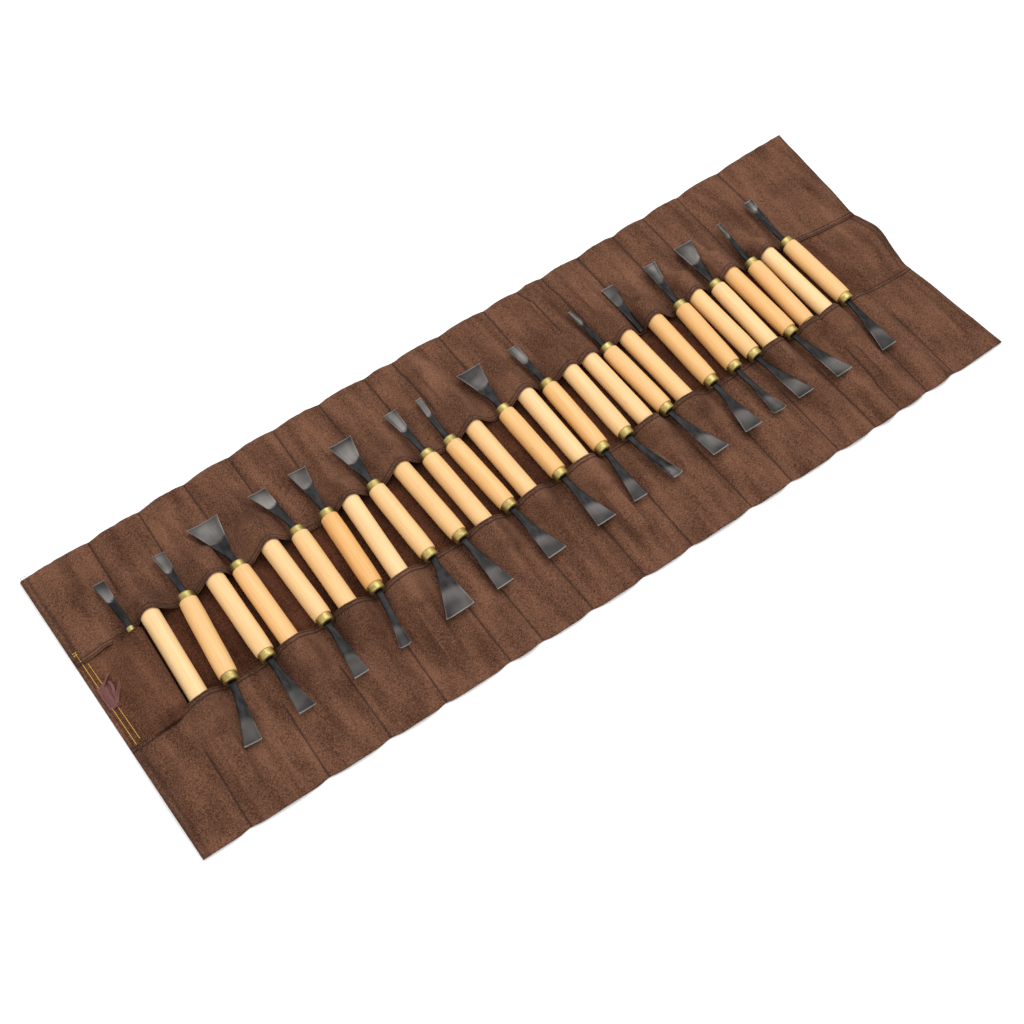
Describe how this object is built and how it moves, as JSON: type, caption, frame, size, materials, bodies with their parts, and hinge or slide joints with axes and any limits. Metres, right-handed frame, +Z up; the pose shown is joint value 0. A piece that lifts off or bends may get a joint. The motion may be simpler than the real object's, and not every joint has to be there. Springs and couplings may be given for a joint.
{
  "type": "carving gouge set in a tool roll",
  "caption": "Open canvas tool roll with stitched pocket strips holding wood-handled carving gouges and chisels with brass ferrules and forged steel blades.",
  "frame": {"origin": "middle of the open roll, on its underside, in the plane it rests on", "axes": "+X along the roll's long side, from the end with the tie to the other end; +Y from the near pocket strip to the far one; +Z up"},
  "size_m": [1.385, 0.511, 0.0325],
  "materials": {
    "canvas": "heavy brown cotton canvas, plain weave",
    "wood": "turned pale hardwood, satin lacquer",
    "steel": "black forged steel, ground lighter towards the edge",
    "brass": "polished brass, slightly aged",
    "thread": "gold sewing thread",
    "tie": "purple-brown woven tie"
  },
  "bodies": {
    "roll": {"base_cloth": "canvas", "pocket_strips": "canvas"},
    "gouge_01": {"gouge_01_handle": "wood", "gouge_01_blade": "steel"},
    "gouge_02": {"gouge_02_handle": "wood", "gouge_02_blade": "steel"},
    "gouge_03": {"gouge_03_handle": "wood", "gouge_03_blade": "steel"},
    "gouge_04": {"gouge_04_handle": "wood", "gouge_04_blade": "steel"},
    "gouge_05": {"gouge_05_handle": "wood", "gouge_05_blade": "steel"},
    "gouge_06": {"gouge_06_handle": "wood", "gouge_06_blade": "steel"},
    "gouge_07": {"gouge_07_handle": "wood", "gouge_07_blade": "steel"},
    "gouge_08": {"gouge_08_handle": "wood", "gouge_08_blade": "steel"},
    "gouge_09": {"gouge_09_handle": "wood", "gouge_09_blade": "steel"},
    "gouge_10": {"gouge_10_handle": "wood", "gouge_10_blade": "steel"},
    "gouge_11": {"gouge_11_handle": "wood", "gouge_11_blade": "steel"},
    "gouge_12": {"gouge_12_handle": "wood", "gouge_12_blade": "steel"},
    "gouge_13": {"gouge_13_handle": "wood", "gouge_13_blade": "steel"},
    "gouge_14": {"gouge_14_handle": "wood", "gouge_14_blade": "steel"},
    "gouge_15": {"gouge_15_handle": "wood", "gouge_15_blade": "steel"},
    "gouge_16": {"gouge_16_handle": "wood", "gouge_16_blade": "steel"},
    "gouge_17": {"gouge_17_handle": "wood", "gouge_17_blade": "steel"},
    "gouge_18": {"gouge_18_handle": "wood", "gouge_18_blade": "steel"},
    "gouge_19": {"gouge_19_handle": "wood", "gouge_19_blade": "steel"},
    "gouge_20": {"gouge_20_handle": "wood", "gouge_20_blade": "steel"},
    "gouge_21": {"gouge_21_handle": "wood", "gouge_21_blade": "steel"},
    "gouge_22": {"gouge_22_handle": "wood", "gouge_22_blade": "steel"},
    "gouge_23": {"gouge_23_handle": "wood", "gouge_23_blade": "steel"},
    "gouge_24": {"gouge_24_handle": "wood", "gouge_24_blade": "steel"},
    "gouge_25": {"gouge_25_handle": "wood", "gouge_25_blade": "steel"},
    "gouge_26": {"gouge_26_handle": "wood", "gouge_26_blade": "steel"},
    "gouge_27": {"gouge_27_handle": "wood", "gouge_27_blade": "steel"},
    "gouge_28": {"gouge_28_handle": "wood", "gouge_28_blade": "steel"},
    "end_gouge": {"end_gouge": "wood"},
    "spare_blade": {"spare_blade": "steel"}
  },
  "joints": [
    {"name": "gouge_01_pull", "type": "slide", "parent": "roll", "child": "gouge_01", "axis": [-0.0593, -0.9982, 0], "range_m": [0, 0.02]},
    {"name": "gouge_02_lift", "type": "slide", "parent": "roll", "child": "gouge_02", "axis": [0, 0, 1], "range_m": [0, 0.06]},
    {"name": "gouge_03_pull", "type": "slide", "parent": "roll", "child": "gouge_03", "axis": [-0.0262, -0.9997, 0], "range_m": [0, 0.04]},
    {"name": "gouge_04_pull", "type": "slide", "parent": "roll", "child": "gouge_04", "axis": [0.0192, 0.9998, 0], "range_m": [0, 0.04]},
    {"name": "gouge_05_pull", "type": "slide", "parent": "roll", "child": "gouge_05", "axis": [-0.0052, -1, 0], "range_m": [0, 0.04]},
    {"name": "gouge_06_pull", "type": "slide", "parent": "roll", "child": "gouge_06", "axis": [0.0401, 0.9992, 0], "range_m": [0, 0.04]},
    {"name": "gouge_07_lift", "type": "slide", "parent": "roll", "child": "gouge_07", "axis": [0, 0, 1], "range_m": [0, 0.06]},
    {"name": "gouge_08_pull", "type": "slide", "parent": "roll", "child": "gouge_08", "axis": [-0.0663, -0.9978, 0], "range_m": [0, 0.02]},
    {"name": "gouge_09_lift", "type": "slide", "parent": "roll", "child": "gouge_09", "axis": [0, 0, 1], "range_m": [0, 0.06]},
    {"name": "gouge_10_pull", "type": "slide", "parent": "roll", "child": "gouge_10", "axis": [0.0279, -0.9996, 0], "range_m": [0, 0.04]},
    {"name": "gouge_11_pull", "type": "slide", "parent": "roll", "child": "gouge_11", "axis": [-0.014, 0.9999, 0], "range_m": [0, 0.04]},
    {"name": "gouge_12_lift", "type": "slide", "parent": "roll", "child": "gouge_12", "axis": [0, 0, 1], "range_m": [0, 0.06]},
    {"name": "gouge_13_pull", "type": "slide", "parent": "roll", "child": "gouge_13", "axis": [-0.0052, 1, 0], "range_m": [0, 0.02]},
    {"name": "gouge_14_lift", "type": "slide", "parent": "roll", "child": "gouge_14", "axis": [0, 0, 1], "range_m": [0, 0.06]},
    {"name": "gouge_15_pull", "type": "slide", "parent": "roll", "child": "gouge_15", "axis": [-0.0122, -0.9999, 0], "range_m": [0, 0.04]},
    {"name": "gouge_16_lift", "type": "slide", "parent": "roll", "child": "gouge_16", "axis": [0, 0, 1], "range_m": [0, 0.06]},
    {"name": "gouge_17_pull", "type": "slide", "parent": "roll", "child": "gouge_17", "axis": [-0.0105, -0.9999, 0], "range_m": [0, 0.04]},
    {"name": "gouge_18_pull", "type": "slide", "parent": "roll", "child": "gouge_18", "axis": [-0.0105, 0.9999, 0], "range_m": [0, 0.02]},
    {"name": "gouge_19_lift", "type": "slide", "parent": "roll", "child": "gouge_19", "axis": [0, 0, 1], "range_m": [0, 0.06]},
    {"name": "gouge_20_pull", "type": "slide", "parent": "roll", "child": "gouge_20", "axis": [-0.0175, 0.9998, 0], "range_m": [0, 0.02]},
    {"name": "gouge_21_pull", "type": "slide", "parent": "roll", "child": "gouge_21", "axis": [-0.0175, -0.9998, 0], "range_m": [0, 0.04]},
    {"name": "gouge_22_lift", "type": "slide", "parent": "roll", "child": "gouge_22", "axis": [0, 0, 1], "range_m": [0, 0.06]},
    {"name": "gouge_23_pull", "type": "slide", "parent": "roll", "child": "gouge_23", "axis": [0.0122, -0.9999, 0], "range_m": [0, 0.04]},
    {"name": "gouge_24_pull", "type": "slide", "parent": "roll", "child": "gouge_24", "axis": [0.0209, 0.9998, 0], "range_m": [0, 0.04]},
    {"name": "gouge_25_pull", "type": "slide", "parent": "roll", "child": "gouge_25", "axis": [0.0157, -0.9999, 0], "range_m": [0, 0.04]},
    {"name": "gouge_26_pull", "type": "slide", "parent": "roll", "child": "gouge_26", "axis": [0.0332, 0.9995, 0], "range_m": [0, 0.02]},
    {"name": "gouge_27_pull", "type": "slide", "parent": "roll", "child": "gouge_27", "axis": [0.014, -0.9999, 0], "range_m": [0, 0.02]},
    {"name": "gouge_28_lift", "type": "slide", "parent": "roll", "child": "gouge_28", "axis": [0, 0, 1], "range_m": [0, 0.06]},
    {"name": "end_gouge_pull", "type": "slide", "parent": "roll", "child": "end_gouge", "axis": [0.0523, 0.9986, 0], "range_m": [0, 0.04]},
    {"name": "spare_blade_lift", "type": "slide", "parent": "roll", "child": "spare_blade", "axis": [0, 0, 1], "range_m": [0, 0.06]}
  ]
}
